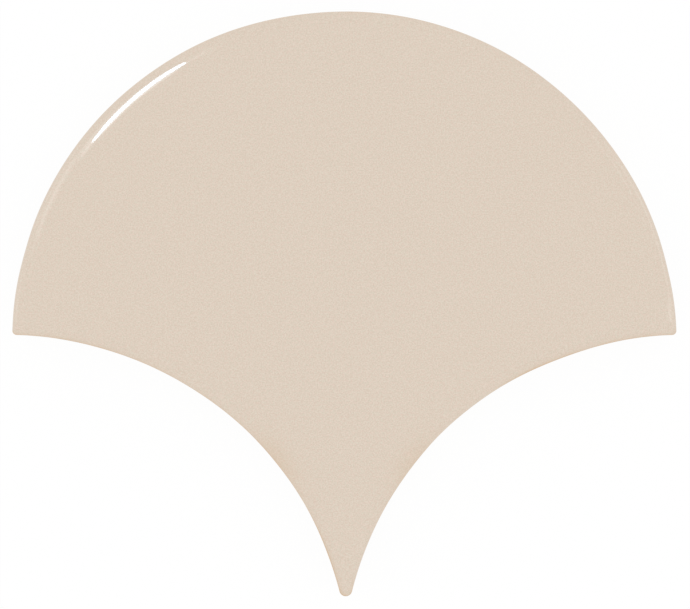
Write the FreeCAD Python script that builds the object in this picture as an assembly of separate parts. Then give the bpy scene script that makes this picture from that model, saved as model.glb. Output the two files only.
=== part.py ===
# Fish scale wall tile: one pressed and glazed ceramic piece with a round crown, two hollow flanks and a tip.
# Millimetres. The back lies on Z = 0 and the glazed face looks along +Z. The crown is towards +Y and the
# tip towards -Y, and the origin is at the centre of the footprint.
import FreeCAD, Part
import math
import os

# Plan of the tile
crown_radius = 60.0
grout_joint = 1.5
horn_radius = 0.8
tip_radius = 1.17

# Section through the edge
thickness = 9.0
roll_width = 3.2
roll_drop = 1.6
corner_softening = 0.3
wall_lean = 0.25
back_arris = 0.5

# Keying grooves pressed into the back
back_rim = 7.0
field_corner_radius = 3.0
groove_pitch = 9.0
groove_width = 5.0
groove_depth = 0.8
groove_side_lean = 0.4

# Steps of the rolled edge from the wall up to the face
roll_steps = 10

# When laid, two crowns of the next course lie in the flanks with an even joint, so a flank has the centre
# of the crown that it holds, and the next course is half a tile aside and one crown radius lower.
flank_radius = crown_radius + grout_joint
flank_centre_x = crown_radius + grout_joint / 2
course_pitch = crown_radius


def tip_centre_below_crown(inset, radius):
    """How far the tip's rounding centre lies below the crown's centre, touching both flanks."""
    reach = flank_radius + inset + radius
    return course_pitch - math.sqrt(reach ** 2 - flank_centre_x ** 2)


# The crown's centre, placed so that the top of the crown and the tip are equally far from the origin.
tip_below_crown = tip_centre_below_crown(0, tip_radius) + tip_radius
crown_centre_y = (tip_below_crown - crown_radius) / 2


def horn_centre(inset, radius):
    """Centre of the right horn's rounding, inside the crown's circle and outside the right flank's."""
    from_crown = crown_radius - inset - radius
    from_flank = flank_radius + inset + radius
    apart = math.hypot(flank_centre_x, course_pitch)
    along = (from_crown ** 2 - from_flank ** 2 + apart ** 2) / (2 * apart)
    aside = math.sqrt(from_crown ** 2 - along ** 2)
    to_flank = FreeCAD.Vector(flank_centre_x, -course_pitch, 0) / apart
    square_to_it = FreeCAD.Vector(-to_flank.y, to_flank.x, 0)
    return FreeCAD.Vector(0, crown_centre_y, 0) + to_flank * along + square_to_it * aside


def toward(start, target, distance):
    """The point at a distance from start on the way to target."""
    return start + (target - start).normalize() * distance


def mirrored(point):
    """The point on the other side of the tile's centre line."""
    return FreeCAD.Vector(-point.x, point.y, point.z)


def arc(start, through, end):
    """One round stretch of the outline."""
    return Part.Arc(start, through, end).toShape()


def outline(inset, height, horn=None, tip=None):
    """Closed plan outline, drawn in from the widest one by inset, with the horns and the tip rounded."""
    horn = horn or horn_radius
    tip = tip or tip_radius
    crown_centre = FreeCAD.Vector(0, crown_centre_y, 0)
    flank_centre = FreeCAD.Vector(flank_centre_x, crown_centre_y - course_pitch, 0)
    tip_centre = FreeCAD.Vector(0, crown_centre_y - tip_centre_below_crown(inset, tip), 0)
    right_horn = horn_centre(inset, horn)

    crown_top = FreeCAD.Vector(0, crown_centre_y + crown_radius - inset, 0)
    crown_end = toward(crown_centre, right_horn, crown_radius - inset)
    flank_start = toward(flank_centre, right_horn, flank_radius + inset)
    flank_end = toward(flank_centre, tip_centre, flank_radius + inset)
    flank_middle = toward(flank_centre, (flank_start + flank_end) / 2, flank_radius + inset)
    horn_middle = toward(right_horn, (crown_end + flank_start) / 2, horn)
    tip_bottom = FreeCAD.Vector(0, tip_centre.y - tip, 0)

    wire = Part.Wire([
        arc(mirrored(crown_end), crown_top, crown_end),
        arc(crown_end, horn_middle, flank_start),
        arc(flank_start, flank_middle, flank_end),
        arc(flank_end, tip_bottom, mirrored(flank_end)),
        arc(mirrored(flank_end), mirrored(flank_middle), mirrored(flank_start)),
        arc(mirrored(flank_start), mirrored(horn_middle), mirrored(crown_end)),
    ])
    wire.translate(FreeCAD.Vector(0, 0, height))
    return wire


def pressed_body():
    """Wall between the back and the rolled edge, leaning in a little towards the back, with a small arris."""
    foot = outline(wall_lean + back_arris, 0)
    arris_top = outline(wall_lean, back_arris)
    wall_top = outline(0, thickness - roll_drop)
    return Part.makeLoft([foot, arris_top, wall_top], True, True)


def rolled_edge():
    """Upper part of the tile, whose edge rolls over from the face to the wall in a quarter ellipse."""
    sections = []
    for step in range(roll_steps + 1):
        turn = math.pi / 2 * step / roll_steps
        inset = roll_width * (1 - math.cos(turn))
        height = thickness - roll_drop * (1 - math.sin(turn))
        softer = corner_softening * inset
        sections.append(outline(inset, height, horn_radius + softer, tip_radius + softer))
    return Part.makeLoft(sections, True, False)


def keying_grooves():
    """Parallel grooves across the back, stopping at the rim, for the adhesive to key into."""
    field_edge = outline(back_rim, 0, field_corner_radius, field_corner_radius)
    field = Part.Face(field_edge).extrude(FreeCAD.Vector(0, 0, groove_depth))
    bounds = field.BoundBox
    count = int((bounds.YLength - groove_width) // groove_pitch) + 1
    first_y = bounds.Center.y - groove_pitch * (count - 1) / 2
    bars = []
    for number in range(count):
        middle = first_y + groove_pitch * number
        mouth = groove_width / 2
        floor = mouth - groove_side_lean
        section = Part.makePolygon([
            FreeCAD.Vector(bounds.XMin, middle - mouth, 0),
            FreeCAD.Vector(bounds.XMin, middle + mouth, 0),
            FreeCAD.Vector(bounds.XMin, middle + floor, groove_depth),
            FreeCAD.Vector(bounds.XMin, middle - floor, groove_depth),
            FreeCAD.Vector(bounds.XMin, middle - mouth, 0),
        ])
        bars.append(Part.Face(section).extrude(FreeCAD.Vector(bounds.XLength, 0, 0)))
    return field.common(Part.makeCompound(bars))


def fish_scale_tile():
    """The whole tile as one solid."""
    blank = pressed_body().fuse(rolled_edge()).removeSplitter()
    return blank.cut(keying_grooves()).Solids[0]


tile = fish_scale_tile()
os.makedirs("parts", exist_ok=True)
tile.exportStep("parts/fish_scale_tile.step")

box = tile.optimalBoundingBox(False, False)
print("size", round(box.XLength, 3), round(box.YLength, 3), round(box.ZLength, 3))
print("valid", tile.isValid(), "closed", tile.isClosed(), "faces", len(tile.Faces))
print("volume", round(tile.Volume, 1))
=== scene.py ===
# Fish scale tile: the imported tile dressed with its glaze, its bare clay edge and its keyed back,
# lying face up on a white floor and seen from straight above.
import math

import bpy
import numpy as np
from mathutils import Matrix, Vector, noise
from mathutils.geometry import delaunay_2d_cdt


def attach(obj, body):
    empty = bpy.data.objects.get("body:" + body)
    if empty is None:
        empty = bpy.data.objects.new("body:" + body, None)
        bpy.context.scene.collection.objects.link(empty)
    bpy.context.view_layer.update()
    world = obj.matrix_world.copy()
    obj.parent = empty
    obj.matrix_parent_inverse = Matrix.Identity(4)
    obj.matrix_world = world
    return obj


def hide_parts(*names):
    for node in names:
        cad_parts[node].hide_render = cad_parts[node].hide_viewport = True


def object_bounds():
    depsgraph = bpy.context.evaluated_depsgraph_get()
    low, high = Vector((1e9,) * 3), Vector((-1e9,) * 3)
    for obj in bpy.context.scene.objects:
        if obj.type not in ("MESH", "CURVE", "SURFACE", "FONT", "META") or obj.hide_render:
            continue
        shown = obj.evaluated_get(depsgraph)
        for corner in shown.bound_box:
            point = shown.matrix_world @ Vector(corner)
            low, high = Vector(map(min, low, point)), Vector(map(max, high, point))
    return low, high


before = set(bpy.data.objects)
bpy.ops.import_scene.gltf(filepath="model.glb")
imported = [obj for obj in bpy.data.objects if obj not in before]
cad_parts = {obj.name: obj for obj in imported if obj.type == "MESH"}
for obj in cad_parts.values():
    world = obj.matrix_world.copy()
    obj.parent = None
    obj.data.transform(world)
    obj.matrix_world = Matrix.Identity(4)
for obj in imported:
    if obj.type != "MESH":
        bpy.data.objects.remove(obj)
cad_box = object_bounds()

# Shapes are worked out in millimetres, and become metres when a mesh is made.
MM = 0.001

# Plan of the tile
crown_radius = 60.0
grout_joint = 1.5
horn_radius = 0.8
tip_radius = 1.17
flank_radius = crown_radius + grout_joint
flank_centre_x = crown_radius + grout_joint / 2
course_pitch = crown_radius

# Section through the edge
thickness = cad_box[1].z / MM
roll_width = 3.2
roll_drop = 1.6
corner_softening = 0.3
wall_lean = 0.25
back_arris = 0.5
wall_top = thickness - roll_drop

# Keying grooves pressed into the back
back_rim = 7.0
field_corner_radius = 3.0
groove_pitch = 9.0
groove_width = 5.0
groove_depth = 0.8
groove_side_lean = 0.4

# Firing: how far the plan leans sideways for each millimetre up it, and where its edge came out of the
# kiln a little proud or shy. Such a place is its edge, its angle in degrees about that edge's centre, which
# counts for nothing at the tip, its spread, and how far it stands out.
kiln_skew = -0.00515
kiln_warps = (
    ("crown", 1, 5, -0.04), ("crown", 13, 4.5, -0.09), ("crown", 27, 6, 0.045), ("crown", 62, 9, 0.045),
    ("crown", 98, 15, -0.19), ("crown", 125, 9, -0.06), ("crown", 164, 5, -0.1), ("crown", 179, 5, -0.04),
    ("left_flank", 74, 8, 0.07), ("left_flank", 46, 9.5, -0.19), ("left_flank", 31, 10, -0.22),
    ("right_flank", 70, 10, 0.26), ("right_flank", 45, 6, -0.1), ("right_flank", 29, 9, -0.05),
    ("tip", 0, 5, -0.11))

# Smooth waves of the glaze and the clay: length in millimetres, and a seed that keeps each apart
face_slow_waves = (23.0, 1.5)
face_quick_waves = (7.0, 8.5)
roll_waves = (14.0, 3.5)
glaze_line_slow_waves = (11.0, 5.5)
glaze_line_quick_waves = (3.1, 6.5)
glaze_run_waves = (6.0, 9.5)
edge_line_waves = (2.4, 11.5)
thin_wall_waves = (2.8, 13.5)
wall_fine_waves = (0.9, 4.5)
wall_coarse_waves = (2.6, 2.5)
back_waves = (2.2, 7.5)

# Glaze: how unevenly it lies on the face and the roll, and where it ends on the wall. Its lower line
# wanders slowly and quickly, and runs further down where a wave of its own rises past a threshold.
face_wave_depth = 0.012
face_slow_share = 0.38
face_quick_share = 0.12
roll_wave_share = 0.008
glaze_line = 4.3
glaze_line_wave = 0.55
glaze_line_slow_share = 0.6
glaze_line_quick_share = 0.35
glaze_run_threshold = 0.25
glaze_run_length = 2.2

# The glaze's rounded lip: how far it bulges, and at heights above its end what share of the bulge it has
glaze_bulge = 0.06
glaze_lip = ((1.6, 0.0), (0.9, 0.25), (0.5, 0.7), (0.24, 1.0), (0.1, 0.85), (0.03, 0.35))

# Tan tint in the glaze: an uneven line along the edge with a sharper one at its very end, partly the body
# showing through glaze that lies thinly there and partly painted shade, stronger on the flanks than on the
# crown; a tan patch in the middle of each flank; and the wall, where the glaze lies thinly. The line's
# strength is given for stretches of the crown and of each flank: middle and spread in degrees about that
# edge's centre, and strength.
edge_line_width = 0.36
sharp_line_width = 0.11
sharp_line_share = 3.8
edge_line_level = 0.9
edge_line_wave = 0.3
crown_stretches = ((5, 20, 0.07), (85, 60, 0.14))
left_flank_stretches = (
    (13, 4, 0.31), (20, 9, 0.36), (50, 60, 0.165), (66, 9, 0.21), (77, 15, 0.235), (88, 5, 0.22))
right_flank_stretches = (
    (13, 4, 0.22), (33, 16, 0.125), (50, 60, 0.08), (66, 8.5, 0.4), (80, 9, 0.25), (88, 4, 0.16))
flank_patch_middle = 38.7
flank_patch_spread = 5.0
flank_patch_reach = 2.7
flank_patch_left = 0.175
flank_patch_right = 0.135
wall_thinness = 0.17
wall_thinness_wave = 0.5

# Bare clay: how far it lies behind the glaze, and how rough the press leaves it, with the shares that fine
# and coarse waves have in the wall's roughness
clay_step = 0.05
clay_grain = 0.03
fine_grain_share = 0.6
coarse_grain_share = 0.4

# Edges that the press leaves soft. The arris starts a little above its place, and is given by height and
# how far in it lies. A groove is given by how far in from its mouth, and what share of its depth it has
# there.
arris_softening = 0.15
soft_arris = ((0.42, 0.1), (0.24, 0.24), (0.1, 0.4), (0.02, 0.52), (0.0, 0.62))
groove_floor_softening = 0.2
soft_groove = (
    (-0.12, 0.0), (0.05, 0.1), (groove_side_lean, 0.9), (groove_side_lean + groove_floor_softening, 1.0))

# Points along each stretch of the outline, and spacing of the points inside it
crown_segments = 380
horn_segments = 10
flank_segments = 160
tip_segments = 16
face_spacing = 0.6
back_spacing = 1.0

# Rings of points round the edge: steps of the roll, and shares of the way down the glazed and bare walls
roll_steps = 16
glazed_wall_shares = (0.33, 0.67)
bare_wall_shares = np.linspace(0.08, 1.0, 11)

# Borders of the grids of points on the face and the back, and how far the back's grid keeps from the edges
# of the grooves
face_grid_horn_radius = 2.0
face_grid_tip_radius = 2.4
back_grid_margin = 0.7
back_grid_rounding = 0.3
groove_clearance = 0.45

# Triangulation: it fills its outermost loop, and joins points that are closer than this
only_inside_loop = 1
joining_distance = 1e-5

# Gap round the two halves of the unrolled map, in millimetres of the tile
map_gap = 4.0

# Camera, in the photograph's frame
image_width = 690
photo_mm_per_pixel = 0.18046
photo_centre = (0.1, -0.12)
lens = 100.0
sensor_width = 36.0
camera_distance = photo_mm_per_pixel * image_width * lens / sensor_width

# Light panels of the studio, each given by the stretch of the crown's roll that mirrors it to the camera:
# from and to in degrees, from and to in millimetres inside the outline, how bright it is, and over what
# share of its half length its ends fade. Some also say over what share of the way from a side to the
# brightest line they fade, and how their middle line bends, in proportion to the way along the panel, to the
# cube of that and to its fourth power.
key_colour = (0.6, 0.8, 1.0, 1.0)
fill_colour = (0.88, 0.95, 1.0, 1.0)
key_panel = dict(
    azimuths=(119.3, 141.7), depths=(1.372, 2.273), brightness=13.5, end_fade=0.05,
    side_fade=0.75, bend=(0.14, -0.13, 0.103))
fill_panels = {
    "key_glow": dict(azimuths=(120.5, 142.0), depths=(1.9, 3.05), brightness=0.23, end_fade=0.3),
    "key_inner_side": dict(
        azimuths=(119.8, 141.2), depths=(2.14, 2.52), brightness=1.85, end_fade=0.3, bend=(0.03, 0, 0)),
    "key_outer_side": dict(azimuths=(129.0, 146.0), depths=(1.08, 1.7), brightness=0.85, end_fade=0.5),
    "key_upper_end": dict(azimuths=(112.5, 121.0), depths=(1.45, 2.3), brightness=0.51, end_fade=0.8),
    "key_lower_end": dict(azimuths=(138.8, 146.4), depths=(1.4, 2.42), brightness=1.4, end_fade=0.8),
    "left_window": dict(azimuths=(141.0, 166.0), depths=(0.7, 1.95), brightness=0.85, end_fade=0.6),
    "left_low_window": dict(azimuths=(138.0, 168.0), depths=(0.34, 0.7), brightness=0.46, end_fade=0.6),
    "left_horn_window": dict(azimuths=(166.0, 179.5), depths=(0.34, 0.8), brightness=0.46, end_fade=0.6),
    "right_window": dict(azimuths=(0.0, 42.0), depths=(0.36, 0.9), brightness=0.52, end_fade=0.6),
    "right_high_window": dict(azimuths=(14.0, 46.0), depths=(1.3, 1.75), brightness=0.34, end_fade=0.7),
    "right_horn_window": dict(azimuths=(0.5, 9.0), depths=(0.6, 1.4), brightness=0.9, end_fade=0.7),
}

# Every panel: how far away it hangs, its points lengthwise and sideways, how square its ends are, and
# where its brightest line lies, from -1 at one side to 1 at the other
panel_distance = 900.0
panel_columns = 61
panel_rows = 21
panel_squareness = 3
brightest_line = -0.15

# Turns of the roll that are tried when finding the one that the camera sees
turns_tried = 200


def tip_below_crown(inset, radius):
    """How far the tip's rounding centre lies below the crown's centre, touching both flanks."""
    reach = flank_radius + inset + radius
    return course_pitch - math.sqrt(reach ** 2 - flank_centre_x ** 2)


# The crown's centre, placed so that the top of the crown and the tip are equally far from the origin.
crown_centre_y = (tip_below_crown(0, tip_radius) + tip_radius - crown_radius) / 2
flank_centre_y = crown_centre_y - course_pitch


def tip_centre_y(inset, radius):
    """Height of the tip's rounding centre in the plan."""
    return crown_centre_y - tip_below_crown(inset, radius)


def horn_centre(inset, radius):
    """Centre of the right horn's rounding, inside the crown's circle and outside the right flank's."""
    from_crown = crown_radius - inset - radius
    from_flank = flank_radius + inset + radius
    apart = math.hypot(flank_centre_x, course_pitch)
    along = (from_crown ** 2 - from_flank ** 2 + apart ** 2) / (2 * apart)
    aside = math.sqrt(from_crown ** 2 - along ** 2)
    x = (flank_centre_x * along + course_pitch * aside) / apart
    y = (flank_centre_x * aside - course_pitch * along) / apart
    return x, crown_centre_y + y


def outline(inset, horn, tip):
    """Plan drawn in by inset, anticlockwise from the right horn: points and outward directions."""
    horn_x, horn_y = horn_centre(inset, horn)
    tip_y = tip_centre_y(inset, tip)
    to_horn = math.atan2(horn_y - crown_centre_y, horn_x)
    horn_to_flank = math.atan2(flank_centre_y - horn_y, flank_centre_x - horn_x)
    flank_to_tip = math.atan2(tip_y - flank_centre_y, flank_centre_x)
    half_turn = math.pi
    crown = (0, crown_centre_y, crown_radius - inset, to_horn, half_turn - to_horn, crown_segments, 1)
    left_horn = (-horn_x, horn_y, horn, half_turn - to_horn, half_turn - horn_to_flank, horn_segments, 1)
    left_flank = (-flank_centre_x, flank_centre_y, flank_radius + inset,
                  -horn_to_flank, flank_to_tip, flank_segments, -1)
    tip_arc = (0, tip_y, tip, half_turn + flank_to_tip, 2 * half_turn - flank_to_tip, tip_segments, 1)
    right_flank = (flank_centre_x, flank_centre_y, flank_radius + inset,
                   half_turn - flank_to_tip, half_turn + horn_to_flank, flank_segments, -1)
    right_horn = (horn_x, horn_y, horn, horn_to_flank, to_horn, horn_segments, 1)
    points, outward = [], []
    for x, y, radius, start, end, segments, side in (
            crown, left_horn, left_flank, tip_arc, right_flank, right_horn):
        angle = start + (end - start) * np.arange(segments) / segments
        spoke = np.column_stack([np.cos(angle), np.sin(angle)])
        points.append(np.array([x, y]) + radius * spoke)
        outward.append(side * spoke)
    return np.vstack(points), np.vstack(outward)


def waves(points, length, seed):
    """Smooth noise between -1 and 1 at each point, with waves of about the given length."""
    return np.array([noise.noise(Vector((x / length, y / length, seed))) for x, y in points[:, :2]])


def as_share(wave):
    """A wave between -1 and 1 as a share between 0 and 1."""
    return 0.5 + 0.5 * wave


def inside(points, border):
    """Which points lie inside a closed border."""
    x, y = points[:, 0], points[:, 1]
    found = np.zeros(len(points), bool)
    for (x0, y0), (x1, y1) in zip(border, np.roll(border, -1, axis=0)):
        if y0 != y1:
            crosses = ((y0 > y) != (y1 > y)) & (x < (x1 - x0) * (y - y0) / (y1 - y0) + x0)
            found ^= crosses
    return found


def lattice(border, spacing):
    """Points of a triangular grid inside a closed border."""
    low, high = border.min(axis=0), border.max(axis=0)
    rows = np.arange(low[1], high[1], spacing * math.sqrt(3) / 2)
    grid = []
    for number, y in enumerate(rows):
        start = low[0] + spacing / 2 * (number % 2)
        x = np.arange(start, high[0], spacing)
        grid.append(np.column_stack([x, np.full(len(x), y)]))
    grid = np.vstack(grid)
    return grid[inside(grid, border)]


class Surface:
    """The tile's skin while it is put together: points in millimetres, and faces with their materials."""

    def __init__(self):
        self.points = []
        self.unrolled = []
        self.faces = []
        self.materials = []
        self.on_back = []
        self.count = 0

    def add_points(self, points, unrolled):
        """Adds points with their places on the unrolled skin, and returns their numbers."""
        numbers = np.arange(self.count, self.count + len(points))
        self.points.append(points)
        self.unrolled.append(unrolled)
        self.count += len(points)
        return numbers

    def add_faces(self, faces, material, on_back=False):
        """Adds faces of one material, given by the numbers of their points."""
        self.faces.extend(tuple(int(n) for n in face) for face in faces)
        self.materials.extend([material] * len(faces))
        self.on_back.extend([on_back] * len(faces))

    def band(self, upper, lower, material):
        """Four-sided faces between two rings."""
        faces = np.column_stack([upper, lower, np.roll(lower, -1), np.roll(upper, -1)])
        self.add_faces(faces, material)

    def fill(self, border, border_numbers, loops, loose, heights, material, downward=False):
        """Triangles inside a ring, through loops of joined points and loose points, at their heights."""
        plan = np.vstack([border] + loops + [loose])
        edges = []
        start = 0
        for loop in [border] + loops:
            numbers = start + np.arange(len(loop))
            edges.extend(zip(numbers.tolist(), np.roll(numbers, -1).tolist()))
            start += len(loop)
        inner = np.column_stack([plan, heights])[len(border):]
        inner_numbers = self.add_points(inner, inner[:, :2])
        numbers = np.concatenate([border_numbers, inner_numbers])
        places = [Vector(point) for point in plan.tolist()]
        made = delaunay_2d_cdt(places, edges, [], only_inside_loop, joining_distance)
        made_faces, made_from = made[2:4]
        sources = [origin[0] for origin in made_from]
        triangles = numbers[np.array([[sources[n] for n in face] for face in made_faces])]
        if downward:
            triangles = triangles[:, ::-1]
        self.add_faces(triangles, material, downward)


def face_dip(points):
    """How far the glaze lies below its highest level, in slow waves over the face."""
    slow = waves(points, *face_slow_waves)
    quick = waves(points, *face_quick_waves)
    return face_wave_depth * (0.5 + face_slow_share * slow + face_quick_share * quick)


def roll_rings():
    """Rings of the rolled edge from the face down to the wall: points and their outward directions."""
    swell = None
    rings = []
    for step in range(roll_steps + 1):
        turn = math.pi / 2 * (1 - step / roll_steps)
        inset = roll_width * (1 - math.cos(turn))
        softer = corner_softening * inset
        plan, outward = outline(inset, horn_radius + softer, tip_radius + softer)
        if swell is None:
            swell = waves(plan, *roll_waves)
        plan = plan + outward * (roll_wave_share * inset * swell)[:, None]
        height = thickness - roll_drop * (1 - math.sin(turn)) - face_dip(plan) * math.sin(turn)
        rings.append((np.column_stack([plan, height]), outward))
    return rings


def wall_ring(height, proud):
    """Ring on the wall at the given heights, proud of the plain leaning wall by the given amounts."""
    inset = wall_lean * (wall_top - height) / (wall_top - back_arris) - proud
    plan, outward = outline(inset.mean(), horn_radius, tip_radius)
    plan = plan + outward * (inset.mean() - inset)[:, None]
    return np.column_stack([plan, height])


def glaze_end(outer):
    """Height of the glaze's wavy lower edge round the tile, with a few longer runs."""
    slow = waves(outer, *glaze_line_slow_waves)
    quick = waves(outer, *glaze_line_quick_waves)
    runs = np.clip(waves(outer, *glaze_run_waves) - glaze_run_threshold, 0, 1)
    wander = glaze_line_wave * (glaze_line_slow_share * slow + glaze_line_quick_share * quick)
    return glaze_line + wander - glaze_run_length * runs


def glaze_wall_rings(end):
    """Rings of the glazed wall, swelling into a rounded lip where the glaze stopped running."""
    level = np.ones(len(end))
    first_fall = wall_top - end - glaze_lip[0][0]
    rings = []
    for share in glazed_wall_shares:
        rings.append(wall_ring(wall_top - first_fall * share, 0 * level))
    for above, swell in glaze_lip:
        rings.append(wall_ring(end + above, glaze_bulge * swell * level))
    rings.append(wall_ring(end, -clay_step * level))
    return rings


def clay_wall_rings(end):
    """Rings of the bare wall from the glaze down to the softened arris of the back."""
    level = np.ones(len(end))
    lowest = back_arris + arris_softening
    rings = []
    for share in bare_wall_shares:
        height = end + (lowest - end) * share
        plain = wall_ring(height, -clay_step * level)
        # The height moves the places where the waves are read, so that the grain changes up the wall too.
        fine = waves(plain + height[:, None], *wall_fine_waves)
        coarse = waves(plain - height[:, None], *wall_coarse_waves)
        grain = fine * fine_grain_share + coarse * coarse_grain_share
        rings.append(wall_ring(height, -clay_step - clay_grain * as_share(grain)))
    for height, inward in soft_arris:
        rings.append(wall_ring(height * level, -(clay_step + clay_grain / 2 + inward) * level))
    return rings


def field_side(inset):
    """Right side of the drawn-in outline of the back's field, from the bottom up."""
    plan = outline(inset, field_corner_radius, field_corner_radius)[0]
    right = plan[plan[:, 0] >= 0]
    return right[np.argsort(right[:, 1])]


def groove_middles():
    """Heights in the plan of the grooves' middles."""
    top = crown_centre_y + crown_radius - back_rim
    bottom = tip_centre_y(back_rim, field_corner_radius) - field_corner_radius
    count = int((top - bottom - groove_width) // groove_pitch) + 1
    return (top + bottom) / 2 + groove_pitch * (np.arange(count) - (count - 1) / 2)


def groove_loop(middle, shrink):
    """One groove's outline, drawn in by shrink from its mouth."""
    side = field_side(back_rim + shrink)
    half = groove_width / 2 - shrink
    ends = np.array([middle - half, middle + half])
    between = side[(side[:, 1] > ends[0]) & (side[:, 1] < ends[1])]
    bottom, top = np.column_stack([np.interp(ends, side[:, 1], side[:, 0]), ends])
    right = np.vstack([bottom, between, top])
    left = right[::-1] * (-1, 1)
    long_sides = []
    for start, end in ((left[-1], right[0]), (right[-1], left[0])):
        steps = max(2, int(abs(end[0] - start[0]) / back_spacing))
        share = np.arange(1, steps)[:, None] / steps
        long_sides.append(start + (end - start) * share)
    return np.vstack([long_sides[0], right, long_sides[1], left])


def in_grooves(points, shrink):
    """Which points lie inside the grooves drawn in by shrink."""
    side = field_side(back_rim + shrink)
    width = np.interp(points[:, 1], side[:, 1], side[:, 0], left=0, right=0)
    nearest = np.abs(points[:, 1:2] - groove_middles()[None, :]).min(axis=1)
    return (nearest < groove_width / 2 - shrink) & (np.abs(points[:, 0]) < width)


def add_back(skin, foot, foot_numbers):
    """Back of the tile with its keying grooves, whose edges the press leaves a little soft."""
    loops, heights = [], []
    for middle in groove_middles():
        for shrink, share in soft_groove:
            loops.append(groove_loop(middle, shrink))
            heights.append(np.full(len(loops[-1]), groove_depth * share))
    border = outline(wall_lean + back_arris + back_grid_margin,
                     horn_radius + back_grid_rounding, tip_radius + back_grid_rounding)[0]
    loose = lattice(border, back_spacing)
    mouth, floor = soft_groove[0][0], soft_groove[-1][0]
    near_mouth = in_grooves(loose, mouth - groove_clearance)
    well_inside = in_grooves(loose, floor + groove_clearance)
    loose = loose[~near_mouth | well_inside]
    deep = in_grooves(loose, floor)
    heights = np.concatenate([np.zeros(len(foot))] + heights + [np.where(deep, groove_depth, 0)])
    plan = np.vstack([foot[:, :2]] + loops + [loose])
    rough = clay_grain * as_share(waves(plan, *back_waves))
    rough[:len(foot)] = 0
    skin.fill(foot[:, :2], foot_numbers, loops, loose, heights + rough, "clay", downward=True)


def build_skin():
    """The whole tile as one closed skin."""
    skin = Surface()
    rolled = roll_rings()
    face_ring, face_outward = rolled[0]
    outer = rolled[-1][0]
    end = glaze_end(outer)
    glazed = [ring for ring, _ in rolled] + glaze_wall_rings(end)
    bare = clay_wall_rings(end)

    unrolled = np.zeros(len(outer))
    previous = None
    for number, ring in enumerate(glazed + bare):
        if previous is not None:
            unrolled = unrolled + np.linalg.norm(ring - previous[1], axis=1)
        numbers = skin.add_points(ring, face_ring[:, :2] + face_outward * unrolled[:, None])
        if previous is not None:
            skin.band(previous[0], numbers, "glaze" if number < len(glazed) else "clay")
        else:
            face_numbers = numbers
        previous = (numbers, ring)

    grid_inset = roll_width * (1 + roll_wave_share) + face_spacing / 2
    grid_border = outline(grid_inset, face_grid_horn_radius, face_grid_tip_radius)[0]
    grid = lattice(grid_border, face_spacing)
    plan = np.vstack([face_ring[:, :2], grid])
    heights = thickness - face_dip(plan)
    skin.fill(face_ring[:, :2], face_numbers, [], grid, heights, "glaze")
    add_back(skin, bare[-1], previous[0])
    return skin


def strongest(stretches, degrees):
    """Strength of the strongest of some stretches at each angle."""
    bumps = [peak * np.exp(-((degrees - middle) / spread) ** 2) for middle, spread, peak in stretches]
    return np.max(bumps, axis=0)


def edge_line(from_edge):
    """How the tan line along the edge, partly thinly laid glaze and partly painted shade, falls off from the
    edge inwards.
    """
    near = np.clip(from_edge, 0, None)
    return np.exp(-near / edge_line_width) + sharp_line_share * np.exp(-near / sharp_line_width)


def edge_tint_and_shade(points):
    """Share of tan in the glaze: 0 on the face, and more towards the edges.

    Along the edge it is partly the body showing through thinly laid glaze and partly painted shade; in the
    middle of each flank it is a tan patch; on the wall it is thinly laid glaze.
    """
    x, y = np.abs(points[:, 0]), points[:, 1]
    on_left = points[:, 0] < 0
    from_crown = crown_radius - np.hypot(x, y - crown_centre_y)
    from_flank = np.hypot(x - flank_centre_x, y - flank_centre_y) - flank_radius
    tip_y = tip_centre_y(0, tip_radius)
    horn_x, horn_y = horn_centre(0, horn_radius)
    at_horn = (x > horn_x) & (y < horn_y)
    from_low_edge = np.where(y < tip_y, tip_radius - np.hypot(x, y - tip_y), from_flank)
    from_low_edge = np.where(at_horn, horn_radius - np.hypot(x - horn_x, y - horn_y), from_low_edge)

    crown_degrees = np.degrees(np.arctan2(y - crown_centre_y, points[:, 0]))
    flank_degrees = np.degrees(np.arctan2(y - flank_centre_y, flank_centre_x - x))
    flank_strength = np.where(on_left, strongest(left_flank_stretches, flank_degrees),
                              strongest(right_flank_stretches, flank_degrees))
    # Lines along the flanks and the crown: tan of thinly laid glaze with painted shade, stronger on the
    # flanks.
    low_line = flank_strength * edge_line(from_low_edge)
    high_line = strongest(crown_stretches, crown_degrees) * edge_line(from_crown)
    unevenness = edge_line_level + edge_line_wave * waves(points, *edge_line_waves)
    line = np.maximum(low_line, high_line) * unevenness

    # A tan patch in the middle of each flank.
    flare = np.exp(-((flank_degrees - flank_patch_middle) / flank_patch_spread) ** 2)
    peak = np.where(on_left, flank_patch_left, flank_patch_right)
    patch = peak * flare * np.exp(-(np.clip(from_flank, 0, None) / flank_patch_reach) ** 2)
    below_roll = np.clip(wall_top - points[:, 2], 0, None)
    upon_wall = 1 - np.exp(-below_roll / edge_line_width)
    on_wall = wall_thinness * (1 + wall_thinness_wave * waves(points, *thin_wall_waves))
    return np.clip(line + patch + (on_wall - line - patch) * upon_wall, 0, 1)


def edge_place(edge, degrees):
    """A place on the outline, by its angle about its edge's centre, and the way out of the tile there."""
    spoke = np.array([math.cos(math.radians(degrees)), math.sin(math.radians(degrees))])
    if edge == "crown":
        return np.array([0, crown_centre_y]) + crown_radius * spoke, spoke
    if edge == "tip":
        return np.array([0, tip_centre_y(0, tip_radius) - tip_radius]), np.array([0, -1])
    side = np.array([1 if edge == "right_flank" else -1, 1])
    flank_centre = np.array([flank_centre_x, flank_centre_y])
    outward = np.array([spoke[0], -spoke[1]])
    return side * (flank_centre - flank_radius * outward), side * outward


def fired(points):
    """The points as the kiln left them: the plan leans a little, and its edge is proud or shy in places."""
    moved = points.copy()
    moved[:, 0] += kiln_skew * (points[:, 1] - crown_centre_y)
    for edge, degrees, spread, proud in kiln_warps:
        place, outward = edge_place(edge, degrees)
        away = np.linalg.norm(points[:, :2] - place, axis=1)
        moved[:, :2] += outward * (proud * np.exp(-(away / spread) ** 2))[:, None]
    return moved


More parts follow.
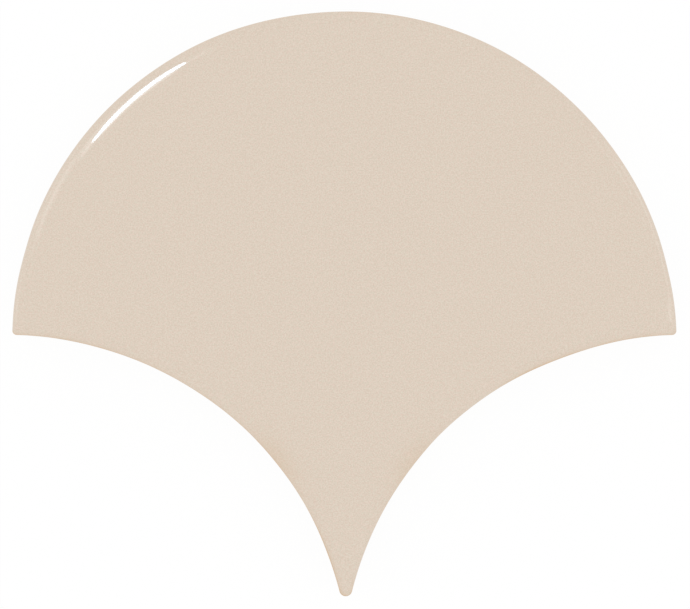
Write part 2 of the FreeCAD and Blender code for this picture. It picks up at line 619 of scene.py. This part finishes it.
def unrolled_map(skin, points, corners):
    """Place of each corner of the faces on one square map: the unrolled front, and the back above it."""
    sizes = np.array([len(face) for face in skin.faces])
    on_back = np.repeat(np.array(skin.on_back), sizes)
    front_map = np.vstack(skin.unrolled)
    spread = front_map.max(axis=0) - front_map.min(axis=0)
    back_height = (cad_box[1].y - cad_box[0].y) / MM
    scale = 1 / (spread[1] + back_height + 3 * map_gap)
    front = (front_map - front_map.min(axis=0) + map_gap) * scale
    back = (points[:, :2] - points[:, :2].min(axis=0) + (map_gap, spread[1] + 2 * map_gap)) * scale
    return np.where(on_back[:, None], back[corners], front[corners])


def make_tile(skin, materials):
    """The skin as one mesh, with its unrolled map and the share of tan in the glaze on it, partly painted
    shade.
    """
    points = np.vstack(skin.points)
    mesh = bpy.data.meshes.new("glazed_tile")
    mesh.from_pydata((fired(points) * MM).tolist(), [], skin.faces)
    names = list(materials)
    for name in names:
        mesh.materials.append(materials[name])
    mesh.polygons.foreach_set("material_index", [names.index(m) for m in skin.materials])
    mesh.shade_smooth()

    # Share of tan: thinly laid glaze, and painted shade along the edges.
    tint_and_shade = mesh.attributes.new("glaze_tint_and_shade", "FLOAT", "POINT")
    tint_and_shade.data.foreach_set("value", edge_tint_and_shade(points).astype(np.float32))

    corners = np.empty(len(mesh.loops), np.int32)
    mesh.loops.foreach_get("vertex_index", corners)
    layer = mesh.uv_layers.new(name="OFBake")
    layer.uv.foreach_set("vector", unrolled_map(skin, points, corners).astype(np.float32).ravel())
    mesh.update()
    tile = bpy.data.objects.new("glazed_tile", mesh)
    bpy.context.scene.collection.objects.link(tile)
    return tile


class Nodes:
    """A material's node tree, with short ways to add and join nodes."""

    def __init__(self, material):
        material.use_nodes = True
        self.tree = material.node_tree
        self.tree.nodes.clear()

    def add(self, kind, inputs=None, **settings):
        """A new node with its settings, and its inputs joined to other nodes or set to values."""
        node = self.tree.nodes.new(kind)
        for name, value in settings.items():
            setattr(node, name, value)
        for name, value in (inputs or {}).items():
            if isinstance(value, bpy.types.NodeSocket):
                self.tree.links.new(value, node.inputs[name])
            else:
                node.inputs[name].default_value = value
        return node

    def grain(self, size, detail, seed):
        """Noise from 0 to 1 with features of a size in millimetres."""
        place = self.add("ShaderNodeTexCoord").outputs["Object"]
        moved = self.add("ShaderNodeVectorMath", {0: place, 1: (seed, seed, seed)}, operation="ADD")
        inputs = {"Vector": moved.outputs["Vector"], "Scale": 1 / (size * MM), "Detail": detail}
        return self.add("ShaderNodeTexNoise", inputs).outputs["Fac"]

    def spread(self, value, low, high, to_low, to_high):
        """Maps a value from one range to another, without going past its ends."""
        inputs = {"Value": value, "From Min": low, "From Max": high, "To Min": to_low, "To Max": to_high}
        return self.add("ShaderNodeMapRange", inputs).outputs["Result"]

    def full_grain(self, size, detail, seed, to_low=0.0, to_high=1.0):
        """Noise over a whole range, from its middle part, where nearly all of it lies."""
        plain = self.grain(size, detail, seed)
        return self.spread(plain, low=0.3, high=0.7, to_low=to_low, to_high=to_high)

    def mix(self, share, first, second, blend="MIX"):
        """One colour over another. The node's sockets go by number, as several of them share a name."""
        inputs = {0: share, 6: first, 7: second}
        return self.add("ShaderNodeMix", inputs, data_type="RGBA", blend_type=blend).outputs[2]

    def finish(self, shader):
        """Makes a shader the look of the material's surface."""
        output = self.add("ShaderNodeOutputMaterial")
        self.tree.links.new(shader, output.inputs["Surface"])


def linear(red, green, blue):
    """A colour given as it looks on screen, from 0 to 255, as the linear values that shaders take."""
    def one(value):
        share = value / 255
        return share / 12.92 if share <= 0.04045 else ((share + 0.055) / 1.055) ** 2.4
    return one(red), one(green), one(blue), 1.0


def glaze_material():
    """Glossy beige glaze with fine speckle, tinted tan where it lies thinly and, along the edges, by painted
    shade.
    """
    material = bpy.data.materials.new("beige_glaze")
    nodes = Nodes(material)
    light = linear(225, 210, 193)
    dark = linear(212, 194, 175)
    rosy = (1.027, 0.985, 0.993, 1.0)
    olive = (0.973, 1.015, 1.007, 1.0)
    # Tan: the body's colour through thinly laid glaze, used also for painted shade along the edges.
    tan = linear(199, 157, 101)
    speckle = nodes.full_grain(size=0.24, detail=1.0, seed=0.31)
    tone = nodes.mix(speckle, dark, light)
    cast = nodes.full_grain(size=0.36, detail=1.0, seed=0.77)
    tone = nodes.mix(1.0, tone, nodes.mix(cast, olive, rosy), "MULTIPLY")
    # The tan share holds painted shade along the edges as well as thinly laid glaze.
    tint_and_shade = nodes.add("ShaderNodeAttribute", attribute_name="glaze_tint_and_shade").outputs["Fac"]
    tone = nodes.mix(tint_and_shade, tone, tan)
    rough = nodes.full_grain(size=1.1, detail=2.0, seed=0.13, to_low=0.02, to_high=0.035)
    swells = nodes.grain(size=2.4, detail=1.0, seed=0.53)
    peel = nodes.add("ShaderNodeBump", {"Height": swells, "Strength": 0.1, "Distance": 0.012 * MM})
    shader = nodes.add("ShaderNodeBsdfPrincipled", {
        "Base Color": tone, "Roughness": rough, "IOR": 1.8, "Normal": peel.outputs["Normal"]})
    nodes.finish(shader.outputs["BSDF"])
    return material


def clay_material():
    """Matt, granular fired body, paler where kiln wash stuck to the back's high places."""
    material = bpy.data.materials.new("bare_clay")
    nodes = Nodes(material)
    light = linear(222, 203, 178)
    dark = linear(197, 170, 140)
    speck = linear(140, 105, 80)
    wash = linear(236, 230, 220)
    tone = nodes.mix(nodes.full_grain(size=0.6, detail=4.0, seed=0.21), dark, light)
    iron = nodes.grain(size=0.45, detail=1.0, seed=0.91)
    tone = nodes.mix(nodes.spread(iron, low=0.72, high=0.76, to_low=0.0, to_high=0.7), tone, speck)
    place = nodes.add("ShaderNodeTexCoord").outputs["Object"]
    height = nodes.add("ShaderNodeSeparateXYZ", {0: place}).outputs["Z"]
    touching = nodes.spread(height, low=0.05 * MM, high=0.3 * MM, to_low=1.0, to_high=0.0)
    clouds = nodes.grain(size=7.0, detail=5.0, seed=0.41)
    dusty = nodes.spread(clouds, low=0.35, high=0.7, to_low=0.05, to_high=0.55)
    share = nodes.add("ShaderNodeMath", {0: touching, 1: dusty}, operation="MULTIPLY").outputs[0]
    tone = nodes.mix(share, tone, wash)
    grains = nodes.grain(size=0.35, detail=3.0, seed=0.63)
    grit = nodes.add("ShaderNodeBump", {"Height": grains, "Strength": 0.5, "Distance": 0.06 * MM})
    shader = nodes.add("ShaderNodeBsdfPrincipled", {
        "Base Color": tone, "Roughness": 0.9, "IOR": 1.45, "Normal": grit.outputs["Normal"]})
    nodes.finish(shader.outputs["BSDF"])
    return material


def seen_or_mirrored(nodes):
    """1 for a ray from the camera or off a glossy or clear surface, and otherwise 0."""
    path = nodes.add("ShaderNodeLightPath")
    first = nodes.add("ShaderNodeMath", {
        0: path.outputs["Is Camera Ray"], 1: path.outputs["Is Glossy Ray"]}, operation="MAXIMUM")
    both = nodes.add("ShaderNodeMath", {
        0: first.outputs[0], 1: path.outputs["Is Transmission Ray"]}, operation="MAXIMUM")
    return both.outputs[0]


def grey(level):
    """A grey of the given linear level."""
    return level, level, level, 1.0


def floor_material():
    """White card that lights the tile from below, and looks white but for the tile's faint shadow."""
    card_level = 0.95
    shadow_depth = 0.05
    material = bpy.data.materials.new("white_floor")
    nodes = Nodes(material)
    card = nodes.add("ShaderNodeBsdfDiffuse", {"Color": grey(card_level)})
    white = nodes.add("ShaderNodeEmission", {"Strength": 1 - shadow_depth})
    shaded = nodes.add("ShaderNodeBsdfDiffuse", {"Color": grey(shadow_depth)})
    look = nodes.add("ShaderNodeAddShader", {0: white.outputs[0], 1: shaded.outputs[0]})
    both = nodes.add("ShaderNodeMixShader", {
        0: seen_or_mirrored(nodes), 1: card.outputs[0], 2: look.outputs[0]})
    nodes.finish(both.outputs[0])
    return material


def make_floor():
    """Wide floor in metres, a hair below the tile's back so that the two don't share a plane."""
    reach = 4.0
    level = -0.00002
    mesh = bpy.data.meshes.new("floor")
    corners = [(x * reach, y * reach, level) for x, y in ((-1, -1), (1, -1), (1, 1), (-1, 1))]
    mesh.from_pydata(corners, [], [(0, 1, 2, 3)])
    mesh.materials.append(floor_material())
    floor = bpy.data.objects.new("floor", mesh)
    bpy.context.scene.collection.objects.link(floor)


def make_world():
    """Even white surroundings, which light the tile from all round."""
    world = bpy.data.worlds.new("studio")
    bpy.context.scene.world = world
    nodes = Nodes(world)
    background = nodes.add("ShaderNodeBackground", {"Color": grey(1.0), "Strength": 1.0})
    output = nodes.add("ShaderNodeOutputWorld")
    nodes.tree.links.new(background.outputs[0], output.inputs["Surface"])


def camera_place():
    """Where the camera stands, straight above the tile's widest section, in millimetres."""
    return np.array([photo_centre[0], photo_centre[1], wall_top + camera_distance])


def make_camera():
    """Long-lens camera looking straight down, with the crown at the top of the picture."""
    data = bpy.data.cameras.new("camera")
    data.lens = lens
    data.sensor_width = sensor_width
    data.clip_start = 0.01
    data.clip_end = 20.0
    camera = bpy.data.objects.new("camera", data)
    camera.location = Vector(camera_place() * MM)
    bpy.context.scene.collection.objects.link(camera)
    bpy.context.scene.camera = camera


def turn_seen_at(depth):
    """Turn of the crown's roll, from the wall up, that the camera sees at a depth inside the outline."""
    turns = np.linspace(0, math.pi / 2, turns_tried)
    inset = roll_width * (1 - np.cos(turns))
    nearer = camera_distance / (camera_distance - roll_drop * np.sin(turns))
    seen = crown_radius - (crown_radius - inset) * nearer
    return np.interp(depth, np.maximum.accumulate(seen), turns)


def mirrored_ray(azimuth, depth):
    """Place on the crown's roll that the camera sees at a depth inside the outline, and its mirrored ray."""
    turn = turn_seen_at(depth)
    radius = crown_radius - roll_width * (1 - np.cos(turn))
    spoke = np.column_stack([np.cos(azimuth), np.sin(azimuth)])
    plan = np.array([0, crown_centre_y]) + spoke * radius[:, None]
    place = np.column_stack([plan, wall_top + roll_drop * np.sin(turn)])
    tilt = np.arctan2(roll_drop * np.cos(turn), roll_width * np.sin(turn))
    normal = np.column_stack([spoke * np.sin(tilt)[:, None], np.cos(tilt)])
    view = camera_place() - place
    view = view / np.linalg.norm(view, axis=1)[:, None]
    ray = 2 * (normal * view).sum(axis=1)[:, None] * normal - view
    return place, ray


def panel_points(azimuths, depths, bend):
    """Points of a panel, column by column, where the given stretch of the crown's roll mirrors them."""
    along = np.linspace(-1, 1, panel_columns)
    across = np.linspace(-1, 1, panel_rows)
    width = (1 - np.abs(along) ** panel_squareness) ** (1 / panel_squareness)
    middle_azimuth, half_azimuth = np.radians([sum(azimuths) / 2, (azimuths[1] - azimuths[0]) / 2])
    azimuth = np.repeat(middle_azimuth + half_azimuth * along, panel_rows)
    half_depth = (depths[1] - depths[0]) / 2
    bent = bend[0] * along + bend[1] * along ** 3 + bend[2] * along ** 4
    middle_depth = np.repeat(sum(depths) / 2 + bent, panel_rows)
    place, ray = mirrored_ray(azimuth, middle_depth + half_depth * np.outer(width, across).ravel())
    return place + ray * panel_distance


def panel_glow(end_fade, side_fade):
    """Brightness of a panel's points, from 0 at its ends and sides to 1 along its brightest line."""
    along = np.linspace(-1, 1, panel_columns)
    across = np.linspace(-1, 1, panel_rows)
    from_ends = np.clip((1 - np.abs(along)) / end_fade, 0, 1)
    rise = (1 + across) / (1 + brightest_line)
    fall = (1 - across) / (1 - brightest_line)
    from_sides = np.clip(np.minimum(rise, fall) / side_fade, 0, 1)
    return np.outer(from_ends, from_sides).ravel()


def panel_material(name, colour, brightness):
    """Light that follows the panel's glow and is added to what lies behind the panel."""
    material = bpy.data.materials.new(name)
    nodes = Nodes(material)
    glow = nodes.add("ShaderNodeAttribute", attribute_name="glow").outputs["Fac"]
    strength = nodes.add("ShaderNodeMath", {0: glow, 1: brightness}, operation="MULTIPLY").outputs[0]
    light = nodes.add("ShaderNodeEmission", {"Color": colour, "Strength": strength})
    clear = nodes.add("ShaderNodeBsdfTransparent")
    both = nodes.add("ShaderNodeAddShader", {0: light.outputs[0], 1: clear.outputs[0]})
    nodes.finish(both.outputs[0])
    return material


def make_panel(name, colour, azimuths, depths, brightness, end_fade, side_fade=1.0, bend=(0, 0, 0)):
    """Bright panel that the given stretch of the crown's roll mirrors. It shows only in the gloss."""
    points = panel_points(azimuths, depths, bend) * MM
    corner = np.arange(len(points)).reshape(panel_columns, panel_rows)
    faces = np.stack([corner[:-1, :-1], corner[1:, :-1], corner[1:, 1:], corner[:-1, 1:]], axis=-1)
    mesh = bpy.data.meshes.new(name)
    mesh.from_pydata(points.tolist(), [], faces.reshape(-1, 4).tolist())
    glow = mesh.attributes.new("glow", "FLOAT", "POINT")
    glow.data.foreach_set("value", panel_glow(end_fade, side_fade).astype(np.float32))
    mesh.materials.append(panel_material(name, colour, brightness))
    panel = bpy.data.objects.new(name, mesh)
    panel.visible_camera = False
    panel.visible_diffuse = False
    panel.visible_shadow = False
    bpy.context.scene.collection.objects.link(panel)


make_camera()
make_world()
make_floor()
make_panel("key_panel", key_colour, **key_panel)
for name, panel in fill_panels.items():
    make_panel(name, fill_colour, **panel)
tile = make_tile(build_skin(), {"glaze": glaze_material(), "clay": clay_material()})
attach(tile, "root")
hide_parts("fish_scale_tile")
bpy.context.scene.view_settings.view_transform = "Standard"
